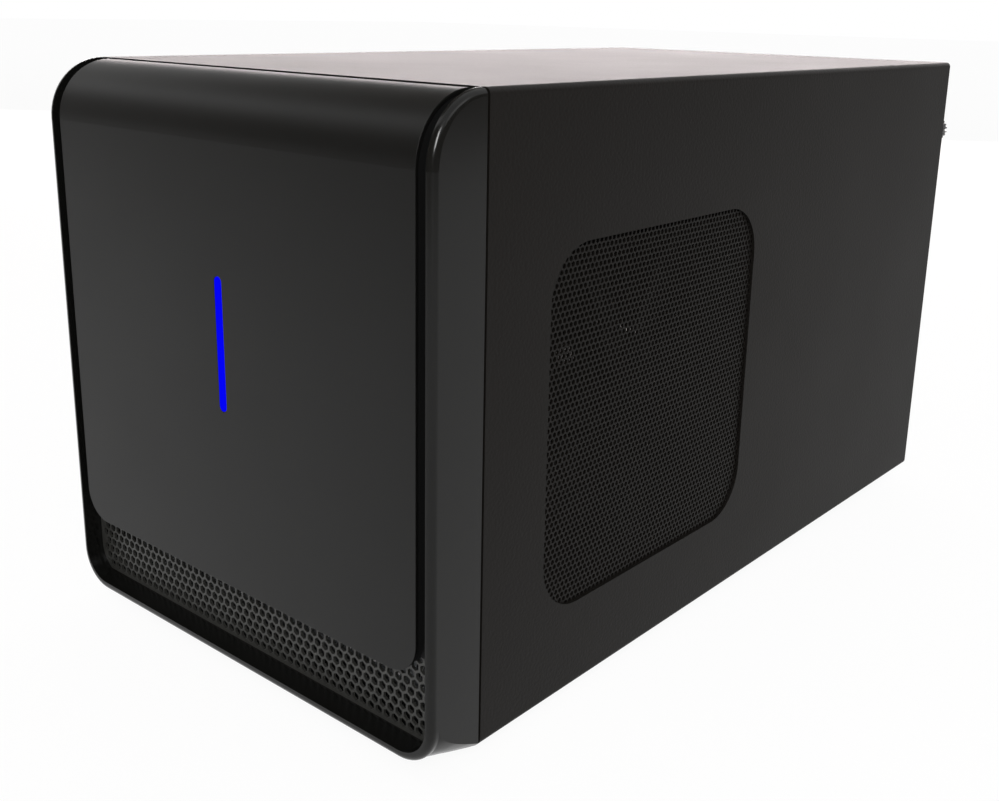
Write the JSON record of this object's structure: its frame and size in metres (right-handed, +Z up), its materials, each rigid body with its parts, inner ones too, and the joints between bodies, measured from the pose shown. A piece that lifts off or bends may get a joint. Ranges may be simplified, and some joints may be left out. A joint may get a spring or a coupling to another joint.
{
  "type": "pcie expansion chassis",
  "caption": "Black desktop enclosure for one expansion card, with a sliding steel sleeve, a moulded front bezel with a light bar, side mesh vents, a fan and a power supply.",
  "frame": {"origin": "centre of the bounding box at the level of the feet", "axes": "+Z up, the front bezel faces -Y and the connectors face +Y"},
  "size_m": [0.185, 0.3482, 0.202],
  "materials": {
    "cover_steel": "black powder coat, fine texture",
    "bezel_plastic": "satin black, moulded",
    "fascia_plastic": "dark grey, fine matte",
    "grille_plastic": "black, moulded",
    "light_guide_plastic": "blue, translucent",
    "lamp_plastic": "clear resin",
    "circuit_board": "green solder mask",
    "supply_board": "bare laminate",
    "screw_steel": "zinc plated",
    "lead_plastic": "black sheath",
    "frame_steel": "galvanised sheet",
    "mesh_steel": "black powder coat",
    "knob_steel": "black oxide, ridged",
    "rubber": "black rubber",
    "fan_plastic": "black, moulded",
    "blade_plastic": "black, moulded",
    "psu_steel": "galvanised sheet",
    "component_plastic": "dark resin",
    "inlet_plastic": "black, moulded",
    "contact_brass": "nickel plated",
    "rocker_plastic": "black, moulded",
    "plate_steel": "nickel plated sheet",
    "standoff_brass": "bare brass",
    "socket_plastic": "black, moulded",
    "latch_plastic": "off-white, moulded",
    "sink_aluminium": "plain anodised",
    "port_steel": "nickel plated shell",
    "can_aluminium": "sleeved cans",
    "choke_ferrite": "pressed ferrite"
  },
  "bodies": {
    "chassis": {"front_bezel": "bezel_plastic", "front_fascia": "fascia_plastic", "front_grille": "grille_plastic", "light_guide": "light_guide_plastic", "light_board": "circuit_board", "light_lamps": "lamp_plastic", "light_screws": "screw_steel", "light_lead": "lead_plastic", "bezel_screws": "screw_steel", "base_tray": "frame_steel", "lead_grommet": "rubber", "rear_panel": "cover_steel", "frame_rivets": "screw_steel", "top_brace": "frame_steel", "brace_screws": "screw_steel", "foot_front_right": "rubber", "foot_front_left": "rubber", "foot_rear_right": "rubber", "foot_rear_left": "rubber", "foot_screws": "screw_steel", "fan_bracket": "cover_steel", "case_fan_frame": "fan_plastic", "case_fan_screws": "screw_steel", "case_fan_lead": "lead_plastic", "psu_case": "psu_steel", "psu_lid": "psu_steel", "psu_fan_guard": "screw_steel", "psu_fan_frame": "fan_plastic", "psu_board": "supply_board", "psu_components": "component_plastic", "power_inlet": "inlet_plastic", "inlet_pins": "contact_brass", "switch_housing": "inlet_plastic", "psu_screws": "screw_steel", "psu_harness": "lead_plastic", "expansion_frame": "cover_steel", "slot_cover_1": "plate_steel", "slot_cover_2": "plate_steel", "slot_screws": "screw_steel", "controller_board": "circuit_board", "board_standoffs": "standoff_brass", "board_screws": "screw_steel", "card_socket": "socket_plastic", "controller_chip": "component_plastic", "chip_heatsink": "sink_aluminium", "host_port": "port_steel", "power_header": "socket_plastic", "fan_header": "latch_plastic", "board_capacitors": "can_aluminium", "board_chokes": "choke_ferrite"},
    "cover": {"outer_cover": "cover_steel", "side_mesh_right": "mesh_steel", "side_mesh_left": "mesh_steel"},
    "thumbscrew_right": {"thumbscrew_right": "knob_steel"},
    "thumbscrew_left": {"thumbscrew_left": "knob_steel"},
    "case_fan": {"case_fan_rotor": "blade_plastic"},
    "psu_fan": {"psu_fan_rotor": "blade_plastic"},
    "rocker": {"switch_rocker": "rocker_plastic"},
    "latch": {"socket_latch": "latch_plastic"}
  },
  "joints": [
    {"name": "cover_slide", "type": "slide", "parent": "chassis", "child": "cover", "axis": [0, 1, 0], "range_m": [0, 0.34]},
    {"name": "thumbscrew_right_turn", "type": "hinge", "parent": "cover", "child": "thumbscrew_right", "pos_m": [0.0859, 0.1699, 0.171], "axis": [0, 1, 0], "continuous": true},
    {"name": "thumbscrew_left_turn", "type": "hinge", "parent": "cover", "child": "thumbscrew_left", "pos_m": [-0.0859, 0.1699, 0.171], "axis": [0, 1, 0], "continuous": true},
    {"name": "case_fan_spin", "type": "hinge", "parent": "chassis", "child": "case_fan", "pos_m": [0.0752, -0.0648, 0.096], "axis": [1, 0, 0], "continuous": true},
    {"name": "psu_fan_spin", "type": "hinge", "parent": "chassis", "child": "psu_fan", "pos_m": [0.0336, 0.1067, 0.054], "axis": [1, 0, 0], "continuous": true},
    {"name": "switch_rock", "type": "hinge", "parent": "chassis", "child": "rocker", "pos_m": [0.0707, 0.1625, 0.108], "axis": [1, 0, 0], "range_deg": [0, 20]},
    {"name": "latch_tilt", "type": "hinge", "parent": "chassis", "child": "latch", "pos_m": [-0.008, 0.0093, 0.0207], "axis": [1, 0, 0], "range_deg": [0, 30]}
  ]
}
